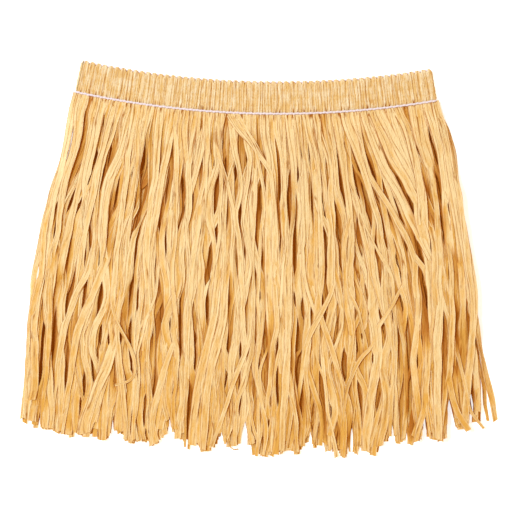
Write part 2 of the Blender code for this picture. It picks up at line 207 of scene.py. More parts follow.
# Ribbons that lie on top: width, points, and whether the last point is the end or the
# ribbon runs on to the hem.
Drawn = namedtuple("Drawn", "width points ends", defaults=(False,))
DRAWN = [Drawn(*row) for row in (
    (6, ((33.5, 270), (29, 313), (26.5, 357), (22, 410))),
    (7, ((73, 108), (66.5, 150), (52.5, 190), (44.5, 230), (40, 262), (32, 310))),
    (7, ((79, 108), (73, 150), (61, 195), (53, 240))),
    (8, ((74, 104), (68.5, 135), (62, 165), (52, 205))),
    (8, ((93, 112), (88, 150), (78, 185), (69, 225), (60, 270))),
    (6, ((51, 270), (50, 313), (47, 367), (43, 400))),
    (9, ((102, 102), (99, 125), (92, 160), (87, 185))),
    (9, ((110, 118), (97, 170), (92, 200), (88, 222))),
    (7, ((134, 112), (129, 150), (124, 195), (117, 250), (112, 300))),
    (8, ((160, 112), (156, 160), (151, 200), (146, 250), (147, 300))),
    (7, ((88, 270), (75, 297), (64, 324), (58, 357), (54, 400))),
    (8, ((104, 262), (92, 297), (77, 331), (71, 368), (65, 411))),
    (5, ((118, 324), (119.5, 357), (122, 389), (125, 433))),
    (6, ((177, 337), (162, 378), (153, 411), (151, 433))),
    (7, ((198, 224), (191, 275), (188, 330), (186, 372))),
    (6, ((175, 120), (176, 170), (175, 220), (172, 270), (176, 324))),
    (7, ((206, 118), (207, 160), (205, 205), (201, 250), (199, 300))),
    (6, ((231, 116), (233, 150), (241, 190), (238, 215), (240, 257), (243, 300))),
    (5, ((215, 130), (219, 150), (228, 186), (234, 213), (231, 270))),
    (9, ((217, 285), (213, 322), (202, 366), (195, 409), (192, 440))),
    (9, ((225, 285), (223, 322), (211, 366), (205, 409), (203, 440))),
    (9, ((270, 190), (269, 208), (268, 275), (272, 330))),
    (7, ((229, 115), (255, 145), (272, 176), (274, 203), (276, 260))),
    (4, ((238, 115), (250, 136), (256, 148), (262, 190))),
    (6, ((250, 338), (240, 366), (228, 398), (218, 431), (213, 447))),
    (6, ((252, 350), (244, 388), (239, 409), (234, 442))),
    (8, ((287, 285), (288, 344), (285, 388), (282, 442))),
    (7, ((310, 322), (302, 366), (299, 393))),
    (6, ((275, 290), (278, 328), (272, 350), (269, 400))),
    (4, ((289, 391), (295, 409), (298, 453))),
    (7, ((433, 108), (438, 122), (442, 138), (446, 160), (450, 190))),
    (9, ((290, 118), (292.5, 150), (294, 180), (293.5, 205), (291.5, 235), (290, 262))),
    (6, ((318, 159), (321, 213), (322, 275), (316, 330))),
    (5, ((333, 290), (322, 312), (311, 333), (305, 350))),
    (6, ((320, 312), (330, 344), (340, 377), (345, 420))),
    (5, ((322, 360), (328, 398), (333, 431), (337, 458))),
    (6, ((346, 285), (356, 307), (364, 345), (367, 383))),
    (8, ((336, 116), (340, 154), (345, 187), (351, 225), (350, 270))),
    (4, ((349, 141), (352, 165), (356, 192), (362, 219), (375, 246), (391, 272))),
    (8, ((349, 119), (366, 161), (382, 198), (395, 222), (412, 252), (427, 272))),
    (7, ((371, 169), (386, 203), (393, 219), (406, 239), (414, 262), (416, 300))),
    (10, ((366, 120), (379, 152), (395, 182), (410, 214), (422, 237), (434, 262))),
    (12, ((378, 112), (391, 140), (406, 168), (416, 200))),
    (11, ((372, 112), (383, 138), (394, 164), (406, 192), (414, 215), (423, 240))),
    (8, ((347, 118), (356, 150), (362, 172), (370, 200), (379, 225))),
    (12, ((397, 110), (410, 132), (417, 158), (421, 190), (424, 228))),
    (12, ((415, 109), (422, 138), (430, 165), (435, 192), (438, 230), (439, 263))),
    (10, ((428, 106), (436, 136), (443, 165), (447, 192), (452, 225), (456, 263))),
    (10, ((436, 116), (446, 165), (452, 192), (458, 225), (463, 262))),
    (9, ((440, 126), (448, 160), (455, 195), (463, 240), (469, 285), (473, 320))),
    (9, ((434, 120), (441, 150), (445, 185), (447.5, 208), (449, 235), (450, 255))),
    (8, ((446, 240), (451, 270), (452, 310), (451, 350), (450, 380))),
    (10, ((460, 262), (463, 300), (463, 345), (461, 380))),
    (8, ((430, 230), (434, 262), (435, 300), (434, 340), (431, 370))),
    (8, ((470, 270), (474, 312), (471, 350), (467, 380))),
    (8, ((440, 300), (438, 340), (437, 370), (437, 400), (438, 430))),
    (7, ((418, 300), (417, 330), (414.5, 361), (418, 400), (421, 430))),
    (4, ((405, 280), (392, 307), (377, 329), (372, 350))),
    (12, ((376, 325), (375, 361), (370, 404), (366, 448))),
    (4, ((374, 345), (357, 362), (346, 388), (343, 420))),
    (4, ((394, 350), (393, 393), (392, 437))),
    (8, ((401, 334), (407, 372), (407, 404), (405, 440))),
    (8, ((428, 340), (426, 383), (426, 408), (418, 438))),
    (8, ((452, 150), (459, 200), (466, 250), (472, 295), (474, 334), (467, 383), (465, 415))),
    (7, ((447, 380), (452, 408), (464, 431))),
    (3.4, ((477, 345), (481.5, 372), (487, 400), (489.6, 422)), True),
    (7, ((475, 318), (480, 345), (486.5, 372), (493.7, 400), (497, 422)), True),
    (4, ((456, 345), (464, 385), (471, 412), (484, 429)), True),
    (2, ((424, 390), (428, 425), (430, 439)), True),
    (11, ((110, 345), (105, 367), (94, 395), (85, 422))),
    (3.6, ((112, 310), (120, 328), (129, 346), (135.5, 364), (135, 374), (131, 381),
         (124, 383), (115, 385)), True),
    (1.2, ((306, 400), (309.5, 430), (309.5, 440), (313, 449)), True),
    (1.2, ((356, 400), (351, 430), (350, 444), (352, 452), (356, 456)), True),
    (1.2, ((232, 400), (228.5, 438), (228.6, 449), (233, 453), (239, 450)), True),
)]


def named_column(rows, name):
    return np.array([getattr(row, name) for row in rows], float)


def on_grid(place):
    """Metres from a column and a row of the drawing grid."""
    return (place[0] - ORIGIN_COLUMN) * STEP, (ORIGIN_ROW - place[1]) * STEP


# -------------------------------------------------------------------------- properties


def metres(name, description, default):
    return bpy.props.FloatProperty(
        name=name, description=description, default=default, min=0.0, subtype="DISTANCE"
    )


def colour(name, description, default):
    return bpy.props.FloatVectorProperty(
        name=name, description=description, default=default, size=3, subtype="COLOR"
    )


class WaistSizes(bpy.types.PropertyGroup):
    seam_chord: metres("Seam width", "Width of the flattened waist seam", 0.388)
    seam_sag: metres("Seam sag", "How far the seam hangs between its ends", 0.0185)
    seam_tilt: bpy.props.FloatProperty(
        name="Seam tilt",
        description="Turn of the seam, positive with its right end up",
        default=math.radians(-1.4),
        subtype="ANGLE",
    )
    seam_x: bpy.props.FloatProperty(
        name="Seam centre", description="X of the seam's middle", default=-0.0023
    )
    seam_y: metres("Seam height", "Y of the middle of the seam's chord", 0.1751)
    height: metres("Band height", "From the seam to the top edge", 0.034)
    pleat_pitch: metres("Pleat pitch", "Mean distance between two pleats", 0.0036)
    scallop_pitch: metres("Scallop pitch", "Distance between two scallops on top", 0.0070)
    pleat_depth: metres("Pleat depth", "Height of a pleat over its valley", 0.0010)
    thread: metres("Thread", "Width of the covered elastic thread", 0.0025)


class FringeSizes(bpy.types.PropertyGroup):
    width: metres("Ribbon width", "Mean width of a ribbon as it lies", 0.0061)
    thickness: metres("Ribbon thickness", "Thickness at the middle of a ribbon", 0.00036)
    kink: metres("Kink", "How far the small kinks of a ribbon stand out", 0.00045)
    loft: metres("Loft", "How high a ribbon's folds stand", 0.0005)


class SkirtColours(bpy.types.PropertyGroup):
    straw: colour("Straw", "Light raffia of the fringe", (0.93, 0.765, 0.44))
    pressed: colour("Pressed straw", "Light raffia of the waistband", (0.91, 0.80, 0.57))
    # Darker raffia of the waistband, also used as painted shade in its pleat valleys and elastic
    # rows.
    band_dark_and_painted_shade: colour("Faded straw", "Dark raffia of the waistband", (0.79, 0.54, 0.22))
    # The darker raffia tone, also used as painted shade on ribbons that lie lower in the heap.
    ochre_and_painted_shade: colour("Ochre", "Dark raffia", (0.80, 0.46, 0.10))
    shade: colour("Shade", "Raffia deep in the heap", (0.42, 0.145, 0.010))
    amber: colour("Amber", "Raffia with light through it", (0.90, 0.40, 0.03))
    # A painted glow: emission that stands in for light passed on between the ribbons.
    glow: colour("Glow", "Light left between the ribbons", (0.060, 0.014, 0.0006))
    thread: colour("Thread", "Covered elastic", (0.86, 0.80, 0.96))
    floor: colour("Floor", "Pale floor", (0.92, 0.92, 0.92))
    floor_glow: colour("Floor glow", "Cool light that the floor gives back", (0.80, 0.92, 1.0))
    sky: colour("Sky", "Warm fill from all sides", (1.0, 0.555, 0.14))
    key: colour("Key", "Cool key light", (0.69, 0.87, 1.0))


class StudioSettings(bpy.types.PropertyGroup):
    camera_height: metres("Camera height", "Over the surface", 1.533)
    lens: bpy.props.FloatProperty(name="Lens", description="In millimetres", default=100.0)
    key: bpy.props.FloatProperty(name="Key", description="Power of the key light", default=220.0)
    sky: bpy.props.FloatProperty(name="Sky", description="Strength of the fill", default=0.64)


# ------------------------------------------------------------------------ noise and fan

# Where the ribbons start, over the seam, and the fringe's size all over. Its top is a Y.
ROOT_HEIGHT = -0.8 * MM
FRINGE_TOP = 0.16
FRINGE_LENGTH = 0.375
FRINGE_WIDTH = 0.45
# The right-hand part of the fringe is swept outwards: how far, where and how broadly, all
# as shares of the fringe's width.
SWEEP, SWEEP_AT, SWEEP_SPREAD = 0.05, 0.81, 0.11


def smoothstep(value):
    """0 below 0, 1 above 1, and between them three squares less two cubes."""
    value = np.clip(value, 0.0, 1.0)
    return value * value * (3 - 2 * value)


class Waves:
    """Smooth noise over a plane: the sum of sine waves of random direction and phase."""

    def __init__(self, rng, terms, across, along):
        self.across = rng.normal(0.0, across, terms)
        self.along = rng.normal(0.0, along, terms)
        self.phase = rng.uniform(0.0, 2 * math.pi, terms)

    def at(self, x, y):
        total = np.zeros(np.broadcast(x, y).shape)
        for across, along, phase in zip(self.across, self.along, self.phase):
            total += np.sin(2 * math.pi * (across * x + along * y) + phase)
        return total * math.sqrt(2 / len(self.phase))


def curved(rng, count, places, knots):
    """A row of noise for each ribbon: random values at even knots, joined by bell curves."""
    values = rng.normal(0.0, 1.0, (count, knots))
    weights = np.exp(-(((places * (knots - 1))[:, None] - np.arange(knots)) / 0.62) ** 2)
    weights /= np.sqrt((weights**2).sum(1, keepdims=True))
    return values @ weights.T


def kinked(rng, count, places, knots, columns=None):
    """Rows of noise as curved gives, joined by straight lines, for each column if named.

    The knots are nearer each other at one end of the ribbon, as the place to a power.
    """
    values = rng.normal(0.0, 1.0, (count, knots) if columns is None else (count, knots, columns))
    bent = places[None, :] ** rng.uniform(0.72, 1.4, (count, 1))
    weights = np.clip(1 - np.abs((bent * (knots - 1))[:, :, None] - np.arange(knots)), 0, None)
    return np.einsum("nsk,nk...->ns...", weights, values)


def along_table(rows, key, name, at):
    """A column of a table at these places: straight lines with rounded corners."""
    keys, values = named_column(rows, key), named_column(rows, name)
    return sum(np.interp(at + shift, keys, values) for shift in (-0.03, -0.01, 0.01, 0.03)) / 4


HEM_X, HEM_Y = on_grid((named_column(HEM, "column"), named_column(HEM, "row")))
HEM_LINE = np.polynomial.Polynomial.fit(HEM_X, HEM_Y, 4)
TUFTS = Waves(np.random.default_rng(SEED), 16, 1 / 0.014, 0.0)


def seam_point(sizes, share, height):
    """Point at a share of the waist seam and this far above it, on arcs of one centre."""
    chord, sag, tilt = sizes.seam_chord, sizes.seam_sag, sizes.seam_tilt
    radius = (chord * chord / 4 + sag * sag) / (2 * sag)
    half_angle = math.asin(chord / 2 / radius)
    centre_x = sizes.seam_x - math.sin(tilt) * (radius - sag)
    centre_y = sizes.seam_y + math.cos(tilt) * (radius - sag)
    angle = (2 * share - 1) * half_angle + tilt
    reach = radius - height
    return centre_x + np.sin(angle) * reach, centre_y - np.cos(angle) * reach


def sides(drop):
    return tuple(along_table(SIDES, "drop", name, drop) * MM for name in ("left", "right"))


def sweep(share, drop):
    """A bell curve over the share, which opens from the seam to the middle of the drop."""
    return SWEEP * np.exp(-(((share - SWEEP_AT) / SWEEP_SPREAD) ** 2)) * smoothstep(drop / 0.5)


def fan(sizes, share, drop):
    """Point of the fringe: straight across between its two sides, and down by the drop."""
    left, right = sides(drop)
    top_y = seam_point(sizes, share, ROOT_HEIGHT)[1]
    far_left, far_right = sides(1.0)
    hem_y = HEM_LINE(far_left + (far_right - far_left) * share)
    return left + (right - left) * (share + sweep(share, drop)), top_y + (hem_y - top_y) * drop


def place_in_fan(sizes, x, y):
    """Share and drop of a point: the reverse of fan, by repeated correction."""
    share, drop = 0.5, 0.5
    whole_drop, caution = 0.38, 0.6
    for _ in range(30):
        left, right = sides(drop)
        at_x, at_y = fan(sizes, share, drop)
        drop = drop - (y - at_y) / whole_drop
        share = share + caution * (x - at_x) / (right - left)
    return share, drop


# --------------------------------------------------------------------------- the heap


class Heap:
    """Height of what lies on the surface so far, on a grid of square cells."""

    CELL = 0.8 * MM
    MARGIN = 30 * MM

    def __init__(self, low, high):
        self.low = np.array([low[0] - self.MARGIN, low[1] - self.MARGIN])
        span = np.array([high[0] + self.MARGIN, high[1] + self.MARGIN]) - self.low
        self.top = np.zeros(tuple((span / self.CELL).astype(int) + 1))

    def cells(self, x, y):
        column = np.clip(((x - self.low[0]) / self.CELL).astype(int), 0, self.top.shape[0] - 1)
        row = np.clip(((y - self.low[1]) / self.CELL).astype(int), 0, self.top.shape[1] - 1)
        return column, row

    def under(self, x, y):
        return self.top[self.cells(x, y)]

    def cover(self, x, y, z):
        """Raises the cells under a grid of points, which is first drawn out finely."""
        x, y, z = (refine(refine(values, 5).T, 4).T for values in (x, y, z))
        np.maximum.at(self.top, self.cells(x, y), z)

    def lift(self, height):
        """Raises the heap to a least height, given as a function of place."""
        self.top = np.maximum(self.top, height(*self.places()))

    def places(self):
        columns, rows = np.indices(self.top.shape)
        return self.low[0] + columns * self.CELL, self.low[1] + rows * self.CELL

    def smoothed(self):
        """Its highest places within some cells each way, smoothed twice."""
        top = self.top
        for axis, operation in ((0, np.max), (1, np.max), *((0, np.mean), (1, np.mean)) * 2):
            top = np.swapaxes(running(np.swapaxes(top, 0, axis), 4, operation), 0, axis)
        return top


def refine(values, times):
    """Rows put between the rows of an array by straight lines."""
    rows = values.shape[0]
    at = np.linspace(0, rows - 1, (rows - 1) * times + 1)
    low = np.minimum(at.astype(int), rows - 2)
    share = (at - low)[:, None]
    return values[low] * (1 - share) + values[low + 1] * share


# ------------------------------------------------------------------------- the ribbons

CLEARANCE = 0.06 * MM
# Points across each ribbon.
COLUMNS = 5
Strands = namedtuple("Strands", "x y shape thick width tone")


def place_by_slit(x, y, slit):
    """Where points lie by a slit: along it from 0 to 1, across it in metres, and its frame."""
    top, foot = np.array(on_grid(slit.top)), np.array(on_grid(slit.foot))
    axis = foot - top
    length = math.hypot(*axis)
    axis /= length
    off_x, off_y = x - top[0], y - top[1]
    along = (off_x * axis[0] + off_y * axis[1]) / length
    return along, off_x * axis[1] - off_y * axis[0], axis, length


def opening_of(slit, along):
    """Half the gap of a slit at places along it: a lens with its widest place where told.

    A wide slit shows more of its gap than a narrow one, and one near the seam shows less.
    """
    share = np.minimum(along / slit.widest, (1 - along) / (1 - slit.widest))
    share = np.clip(share, 0, 1)
    loose = 0.65 + 0.35 * smoothstep((slit.top[1] - TIGHT_ROW) / TIGHT_ROW)
    shown = min(0.20 + 0.018 * slit.gap, 0.36) * loose
    return shown * slit.gap * STEP * share * (1.25 - 0.25 * share)


def nudge(x, y, slit):
    """Moves whole ribbons out of a slit, to the side on which most of each lies.

    A ribbon keeps its width. It is moved most where the slit is widest, and returns to its
    course in a straight line on either side. None moves far: what remains is folded aside.
    """
    along, across, axis, length = place_by_slit(x, y, slit)
    inside = (along > 0) & (along < 1)
    near = np.any(inside & (np.abs(across) < 12 * MM), axis=(1, 2))
    if not near.any():
        return
    along, across, inside = along[near], across[near], inside[near]
    middle = (across * inside).sum(axis=(1, 2)) / inside.sum(axis=(1, 2))
    side = np.where(middle < 0, -1.0, 1.0)[:, None, None]
    ramp = min(max(4 * length, 12 * MM), max(34 * MM, 0.6 * length)) / length
    above = (along + ramp) / (slit.widest + ramp)
    below = (1 + ramp - along) / (1 + ramp - slit.widest)
    window = np.clip(np.minimum(above, below), 0.0, 1.0)
    wanted = np.where(inside, (opening_of(slit, along) - side * across) / (window + 1e-6), -1.0)
    limit = max(2.5 * MM, 0.5 * slit.gap * STEP)
    move = np.clip(wanted.max(axis=(1, 2)), 0.0, limit)[:, None, None]
    x[near] += move * window * side * axis[1]
    y[near] -= move * window * side * axis[0]


def fold_aside(x, y, slit):
    """Folds aside the edges of ribbons that still reach into a slit."""
    along, across, axis, length = place_by_slit(x, y, slit)
    near = np.any((along > 0) & (along < 1) & (np.abs(across) < 9 * MM), axis=(1, 2))
    if not near.any():
        return
    along, across = along[near], across[near]
    inside = ((along > 0) & (along < 1)).astype(float)
    middle = (across * inside).sum(axis=(1, 2)) / inside.sum(axis=(1, 2))
    side = np.where(middle < 0, -1.0, 1.0)[:, None, None]
    half = opening_of(slit, along)
    reach = 2.0 * MM
    kept = 0.5 * (side * across + np.sqrt((side * across) ** 2 + (0.3 * half) ** 2))
    pushed = kept + half * np.exp(-kept / reach)
    crossing = smoothstep((side * across + 6 * MM) / (2 * MM))
    shift = (pushed - side * across) * (half > 0) * crossing * side
    shift *= smoothstep(half / (0.15 * slit.gap * STEP))
    x[near] += shift * axis[1]
    y[near] -= shift * axis[0]


def fan_courses(rng, sizes, fringe, layer):
    """Middle lines of a layer's ribbons, from the seam to the hem.

    Each follows the fan at a slope of its own, and strays from it in straight runs: long
    ones, shorter ones and small kinks, with a sway that neighbours share. It ends a little
    above the hem. Last come the stations between which it lies over its neighbours.
    """
    count = layer.count
    share = rng.permutation((np.arange(count) + rng.uniform(0.1, 0.9, count)) / count)
    place = np.linspace(0.0, 1.0, layer.stations)
    slope = rng.normal(0.0, 1.5, (count, 1)) * place
    stray = slope + 0.45 * kinked(rng, count, place, 4) + 0.18 * kinked(rng, count, place, 9)
    sway = Waves(rng, 12, 6.0, 2.0).at(share[:, None], place[None, :])
    stray = (stray + 0.25 * sway) * layer.lean * MM * smoothstep(place / 0.25)
    stray += fringe.kink * kinked(rng, count, place, 20) * smoothstep(place / 0.10)
    path = np.clip(share[:, None] + stray / FRINGE_WIDTH, 0.018, 0.982)
    begin = rng.uniform(0.1, 0.75, count)
    end = np.where(rng.random(count) < 0.65, begin + rng.uniform(0.15, 0.6, count), begin)
    spans = (np.clip(joint, 0, 1) * layer.stations for joint in (begin, end))
    return (*end_at_hem(rng, sizes, path, place, layer.short * MM), *spans)


def end_at_hem(rng, sizes, path, place, short):
    """Points of ribbons whose shares of the width are given, ending above the hem table.

    They end in tufts, between which the hem stands higher.
    """
    end_x, end_y = fan(sizes, path[:, -1], 1.0)
    short = rng.gamma(1.5, short / 1.5, len(path)) - 3.5 * MM
    short += 3.0 * MM * np.clip(TUFTS.at(end_x, 0.0), 0, 2)
    top_y = seam_point(sizes, path[:, 0], 0.0)[1]
    drop = place * ((top_y - np.interp(end_x, HEM_X, HEM_Y) - short) / (top_y - end_y))[:, None]
    return (*fan(sizes, path, drop), drop)


def drawn_courses(rng, sizes, fringe, layer):
    """Middle lines of the ribbons in the DRAWN table.

    Each comes from the seam along the fan to its first point, runs straight from point to
    point, a little rounded, and goes on along the fan to the hem unless it ends before.
    Between its first point and its last it lies over its neighbours.
    """
    lines, spans = [], []
    for ribbon in DRAWN:
        points = [on_grid(place) for place in ribbon.points]
        share, drop = place_in_fan(sizes, *points[0])
        head = [fan(sizes, share, at * drop) for at in np.linspace(0.0, 0.9, 6)]
        tail = []
        if not ribbon.ends:
            share, drop = place_in_fan(sizes, *points[-1])
            end_x, end_y = fan(sizes, share, 1.0)
            low = np.interp(end_x, HEM_X, HEM_Y) + rng.gamma(1.5, layer.short * MM / 1.5)
            low -= 2.5 * MM
            last = place_in_fan(sizes, end_x, low)[1]
            if last > drop + 0.01:
                tail = [fan(sizes, share, at) for at in np.linspace(drop, last, 5)[1:]]
        line = np.array([*head, *points, *tail])
        run = np.concatenate([[0], np.cumsum(np.hypot(*np.diff(line, axis=0).T))])
        at = np.linspace(0, run[-1], layer.stations)
        shown = run[[len(head), len(head) + len(points) - 1]] + np.array([-15, 20]) * MM
        spans.append(shown / run[-1] * layer.stations)
        line = np.stack([np.interp(at, run, line[:, axis]) for axis in (0, 1)])
        ends = line[:, :1], line[:, -1:]
        line = running(line.T, 1, np.mean).T
        lines.append(np.concatenate([ends[0], line[:, 1:-1], ends[1]], axis=1))
    x, y = np.swapaxes(np.array(lines), 0, 1)
    place = np.linspace(0.0, 1.0, layer.stations)
    x = x + fringe.kink * kinked(rng, len(x), place, 20) * smoothstep(place / 0.10)
    top_y = seam_point(sizes, 0.5, 0.0)[1]
    return x, y, np.clip((top_y + 0.01 - y) / FRINGE_LENGTH, 0.0, 1.0), *np.array(spans).T


def clothe(rng, x, y, drop, width, thickness, loft):
    """Rows of points across the ribbons whose middle lines and widths are given.

    A ribbon narrows where it is crumpled or folded, and is cut at a slant. Its height over
    what carries it leans to a side, ridges and pleats along it. At the seam it is thin, and
    gathered in fine pleats.
    """
    count, stations = x.shape
    place = np.linspace(0.0, 1.0, stations)
    grown = smoothstep(drop / 0.22)
    width = width[:, None] * np.clip(1 + 0.16 * kinked(rng, count, place, 9), 0.55, 1.35)
    folded = (rng.random(count) < 0.30)[:, None]
    fold_at, fold_long = rng.uniform(0, 0.9, (count, 1)), rng.uniform(0.1, 0.5, (count, 1))
    fold = smoothstep((place - fold_at) / 0.04)
    fold = fold * (1 - smoothstep((place - fold_at - fold_long) / 0.04))
    width = width * (1 - 0.38 * folded * fold)
    root = rng.uniform(1.0, 1.6, (count, 1))
    width *= root + (0.82 - root) * grown + 0.22 * smoothstep(drop / 0.6)
    width *= 1 - rng.uniform(0.0, 0.25, (count, 1)) * smoothstep((place - 0.93) / 0.07)
    across = np.linspace(-1.0, 1.0, COLUMNS)
    along_x, along_y = np.gradient(x, axis=1), np.gradient(y, axis=1)
    length = np.hypot(along_x, along_y)
    along_x, along_y = (along_x / length)[:, :, None], (along_y / length)[:, :, None]
    half = (width / 2)[:, :, None]
    offset = -across * half
    offset = offset + 0.14 * MM * kinked(rng, count, place, 34, COLUMNS) * np.abs(across)
    slant = rng.normal(0.0, 0.30, count)[:, None, None] * (place**30)[:, None] * across * half
    grid_x = x[:, :, None] - along_y * offset + along_x * slant
    grid_y = y[:, :, None] + along_x * offset + along_y * slant

    fade = np.abs(2 * np.abs(across) - 1)
    shape = 0.22 * across * kinked(rng, count, place, 8)[:, :, None] - 0.15 * across**2
    shape = shape + 0.16 * (1 - 2 * np.abs(across)) * kinked(rng, count, place, 9)[:, :, None]
    shape = shape + 0.16 * (fade - 0.5) * kinked(rng, count, place, 11)[:, :, None]
    shape = shape + 0.22 * kinked(rng, count, place, 30, COLUMNS)
    shape = shape + 0.25 * np.abs(curved(rng, count, place, 9))[:, :, None]
    shape = shape * loft * (0.15 + 0.85 * grown)[:, :, None]
    gather = np.where(np.arange(COLUMNS) % 2 == 1, 0.7, -0.7) * MM
    shape = shape + gather * (1 - smoothstep((drop - 0.008) / 0.06))[:, :, None]
    thick = thickness * (0.18 + 0.82 * smoothstep(drop / 0.20))
    return Strands(grid_x, grid_y, shape, thick, width, rng.normal(0.0, 1.0, count))


def running(values, reach, operation):
    """Running mean or greatest value along the first axis, over stations each way."""
    padded = np.concatenate([values[:1]] * reach + [values] + [values[-1:]] * reach)
    shifted = [padded[step : step + len(values)] for step in range(2 * reach + 1)]
    return operation(shifted, axis=0)


def belly(strands):
    """How far a ribbon's underside hangs below its flat top, most along its middle."""
    across = np.linspace(-1.0, 1.0, COLUMNS)
    return strands.thick[:, :, None] * (1 - across**2)


def settle(rng, heap, strands, begin, end):
    """Heights of the ribbons, laid one after another in two rounds.

    The first round lays all but the stations from begin to end, in any order, and the
    second round lays these, so that a ribbon comes out from under its neighbours and goes
    under them again. A ribbon is stiff: across, it is a straight line over the highest
    places under its left and its right half, and these two heights are smoothed along it.
    Each point lies at least a clearance above what is under it.
    """
    heights = np.zeros_like(strands.x)
    count, stations, columns = strands.x.shape
    begin, end = (np.clip(joint, 0, stations).astype(int) for joint in (begin, end))
    across = np.linspace(0.0, 1.0, columns)
    bellies = belly(strands)

    def lay(index, start, stop):
        if stop - start < 2:
            return
        span = slice(start, stop)
        x, y, shape = strands.x[index, span], strands.y[index, span], strands.shape[index, span]
        least = heap.under(x, y) + CLEARANCE + bellies[index, span]
        halves = least[:, : columns // 2 + 1], least[:, columns // 2 :]
        edges = np.stack([half.max(axis=1) for half in halves], axis=1)
        edges = running(running(edges, 1, np.max), 2, np.mean)
        z = edges[:, :1] * (1 - across) + edges[:, 1:] * across + shape
        z = np.maximum(z, least)
        z = np.maximum(0.5 * z + 0.5 * running(z, 1, np.mean), least)
        heights[index, span] = z
        heap.cover(x, y, z)

    for index in rng.permutation(count):
        lay(index, 0, begin[index])
        lay(index, end[index], stations)
    for index in range(count):
        lay(index, begin[index], end[index])
    near = 0
    for joint in (begin, end):
        near = near + np.exp(-(((np.arange(stations) - joint[:, None]) / 4.5) ** 2))[:, :, None]
    near = np.clip(near, 0, 1) * (end > begin)[:, None, None]
    eased = np.swapaxes(running(np.swapaxes(heights, 0, 1), 6, np.mean), 0, 1)
    return heights * (1 - near) + eased * near


def tube_faces(stations, size, closed=False):
    """Quads between rings of points, the last of which may be joined to the first.

    They face outwards where each ring runs counter-clockwise as seen from the next.
    """
    rows = np.arange(stations if closed else stations - 1)
    station, place = np.meshgrid(rows, np.arange(size), indexing="ij")
    after, beside = (station + 1) % stations, (place + 1) % size
    corners = ((station, place), (station, beside), (after, beside), (after, place))
    return np.stack([ring * size + at for ring, at in corners], axis=-1).reshape(-1, 4)


def ribbon_mesh(name, strands, heights):
    """One mesh of many closed ribbons, flat on top and bellied below, with capped ends."""
    count, stations, columns = strands.x.shape
    across = np.linspace(-1.0, 1.0, columns)
    top = np.stack([strands.x, strands.y, heights], axis=-1)
    under = top.copy()
    under[..., 2] -= belly(strands)
    ring = np.concatenate([top, under[:, :, -2:0:-1]], axis=2)
    size = ring.shape[2]
    starts = (np.arange(count) * stations * size)[:, None, None]
    quads = (starts + tube_faces(stations, size)[None]).reshape(-1, 4)
    first = np.arange(size)[None, ::-1] + starts[:, 0]
    last = np.arange(size)[None, :] + starts[:, 0] + (stations - 1) * size
    caps = np.concatenate([first, last])

    ring_across = np.concatenate([across, across[-2:0:-1]])
    middle_x, middle_y = strands.x[:, :, columns // 2], strands.y[:, :, columns // 2]
    steps = np.hypot(np.diff(middle_x), np.diff(middle_y))
    run = np.concatenate([np.zeros((count, 1)), np.cumsum(steps, axis=1)], axis=1)
    uv = np.empty((count, stations, size, 2))
    uv[..., 0] = ring_across[None, None, :] * strands.width[:, :, None] / 2
    uv[..., 1] = run[:, :, None]
    tone = np.broadcast_to(strands.tone[:, None, None], (count, stations, size))
    # Nearness to each ribbon's edges, for the painted highlight, painted glow and painted shadow
    # line of the material.
    rim = np.broadcast_to(np.abs(ring_across) ** 3, (count, stations, size))
    values = {"tone": tone, "seed": tone, "rim": rim}
    return build_mesh(name, ring, quads, uv, values, 60.0, caps)


def coordinates(mesh):
    points = np.empty(len(mesh.vertices) * 3, np.float32)
    mesh.vertices.foreach_get("co", points)
    return points.reshape(-1, 3)


def draw_in(sizes, heap, pieces):
    """Presses the fringe flat under the seam thread, down to the middle of the band.

    Heights over the middle are scaled by one factor at each place, so that no two ribbons
    change places: what is allowed there, over the height of the smoothed heap.
    """
    top = heap.smoothed()
    for piece in pieces:
        points = coordinates(piece.data)
        x, y, z = points.T
        share = np.clip((x - sizes.seam_x) / sizes.seam_chord + 0.5, 0, 1)
        below = seam_point(sizes, share, 0.0)[1] - y
        allowed = 2.7 * MM + 12 * MM * smoothstep(below / 0.045)
        over = np.maximum(top[heap.cells(x, y)] - BAND_MIDDLE, 1e-6)
        factor = np.clip(allowed / over, 0, 1)
        points[:, 2] = np.where(z > BAND_MIDDLE, BAND_MIDDLE + (z - BAND_MIDDLE) * factor, z)
        piece.data.vertices.foreach_set("co", points.ravel())
        piece.data.update()


def shade_by_depth(heap, pieces):
    """Writes how deep each point lies, in millimetres, below the smoothed heap, for the painted
    shade of the material.

    It is no more than 2.5 times the point's height over the floor, and less near the sides
    and the hem, where light comes in.
    """
    top = heap.smoothed()
    for piece in pieces:
        mesh = piece.data
        x, y, z = coordinates(mesh).T
        depth = np.minimum(top[heap.cells(x, y)] - z, 2.5 * z)
        left, right = sides(np.clip((FRINGE_TOP - y) / FRINGE_LENGTH, 0, 1))
        over_hem = 0.4 * (y - np.interp(x, HEM_X, HEM_Y))
        inward = np.minimum(np.minimum(x - left, right - x), over_hem)
        depth *= 0.3 + 0.7 * smoothstep(inward / (9 * MM))
        attribute = mesh.attributes.new("depth", "FLOAT", "POINT")
        attribute.data.foreach_set("value", (np.clip(depth, 0, None) / MM).astype(np.float32))


